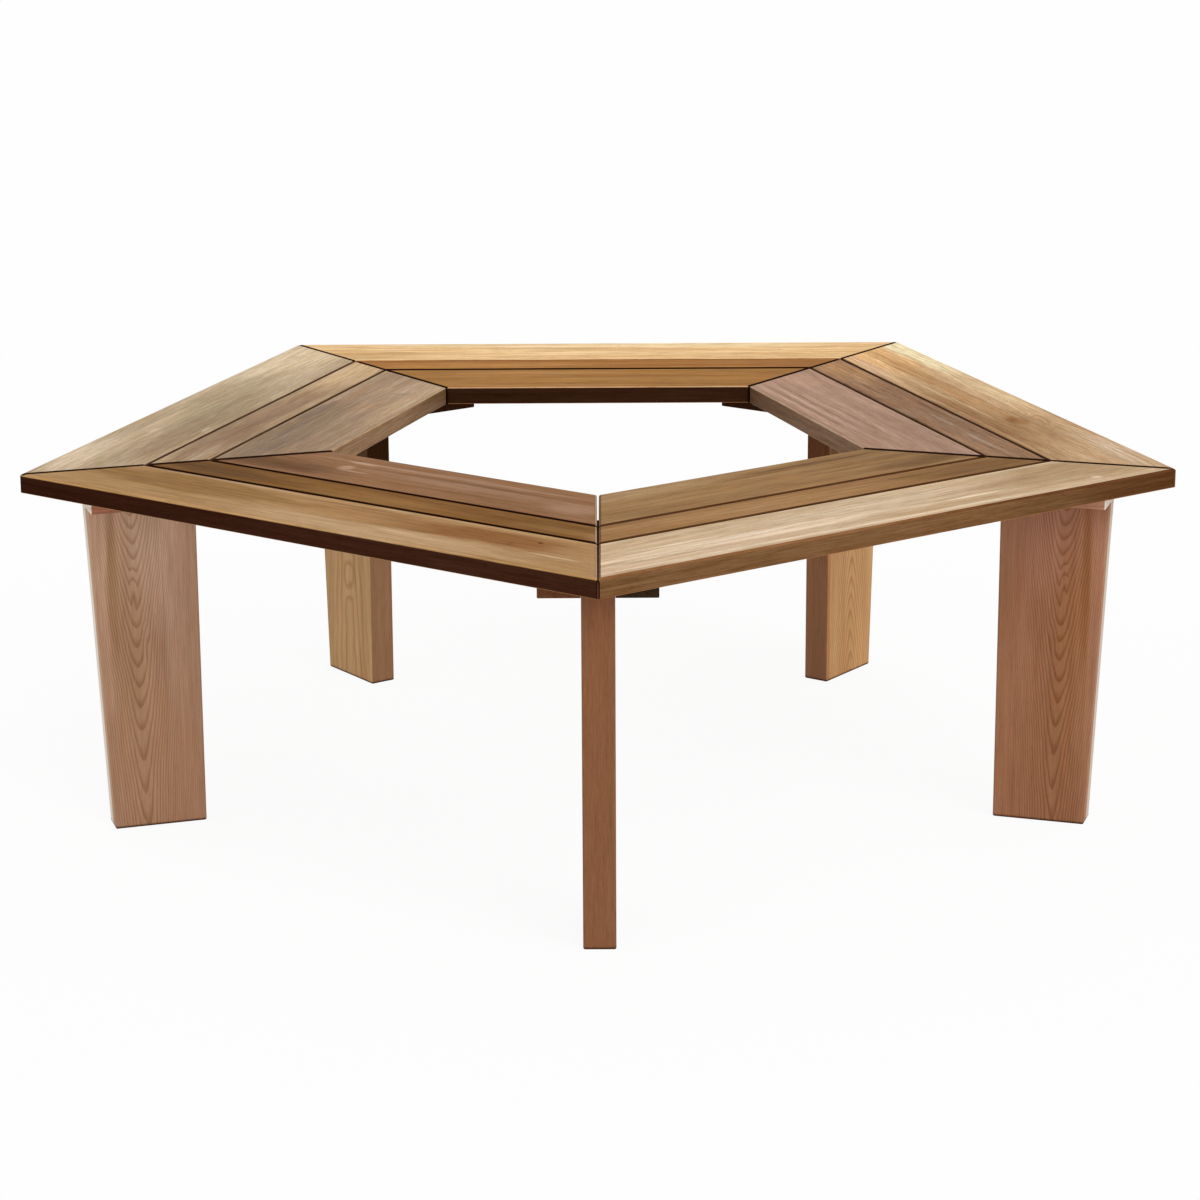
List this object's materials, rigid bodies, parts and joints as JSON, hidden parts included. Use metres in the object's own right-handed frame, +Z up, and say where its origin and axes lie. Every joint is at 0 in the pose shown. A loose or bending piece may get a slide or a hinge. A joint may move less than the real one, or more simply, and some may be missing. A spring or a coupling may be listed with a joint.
{
  "type": "tree bench",
  "caption": "Backless five-sided ring bench of mitred hardwood boards on corner plates and plank legs, open in the middle for a tree trunk.",
  "frame": {"origin": "on the axis of the five-sided ring, which is the trunk's axis, at floor level", "axes": "+Z up; -Y towards the corner of the seat that points at the viewer; +X to the viewer's right, the longest way across"},
  "size_m": [1.4538, 1.3827, 0.476],
  "materials": {
    "seat_wood": "oiled hardwood, satin, varied tan, golden and pinkish boards",
    "leg_wood": "oiled hardwood, satin, pinkish tan with cathedral grain",
    "plate_wood": "oiled hardwood, satin, pinkish brown",
    "screw_steel": "plain stainless wood screws"
  },
  "bodies": {
    "root": {"front_leg": "leg_wood", "front_corner_plate": "plate_wood", "front_board_screws": "screw_steel", "front_leg_screws": "screw_steel", "left_leg": "leg_wood", "left_corner_plate": "plate_wood", "left_board_screws": "screw_steel", "left_leg_screws": "screw_steel", "rear_left_leg": "leg_wood", "rear_left_corner_plate": "plate_wood", "rear_left_board_screws": "screw_steel", "rear_left_leg_screws": "screw_steel", "rear_right_leg": "leg_wood", "rear_right_corner_plate": "plate_wood", "rear_right_board_screws": "screw_steel", "rear_right_leg_screws": "screw_steel", "right_leg": "leg_wood", "right_corner_plate": "plate_wood", "right_board_screws": "screw_steel", "right_leg_screws": "screw_steel", "front_left_inner_board": "seat_wood", "front_left_middle_board": "seat_wood", "front_left_outer_board": "seat_wood", "left_inner_board": "seat_wood", "left_middle_board": "seat_wood", "left_outer_board": "seat_wood", "rear_inner_board": "seat_wood", "rear_middle_board": "seat_wood", "rear_outer_board": "seat_wood", "right_inner_board": "seat_wood", "right_middle_board": "seat_wood", "right_outer_board": "seat_wood", "front_right_inner_board": "seat_wood", "front_right_middle_board": "seat_wood", "front_right_outer_board": "seat_wood"}
  },
  "joints": []
}
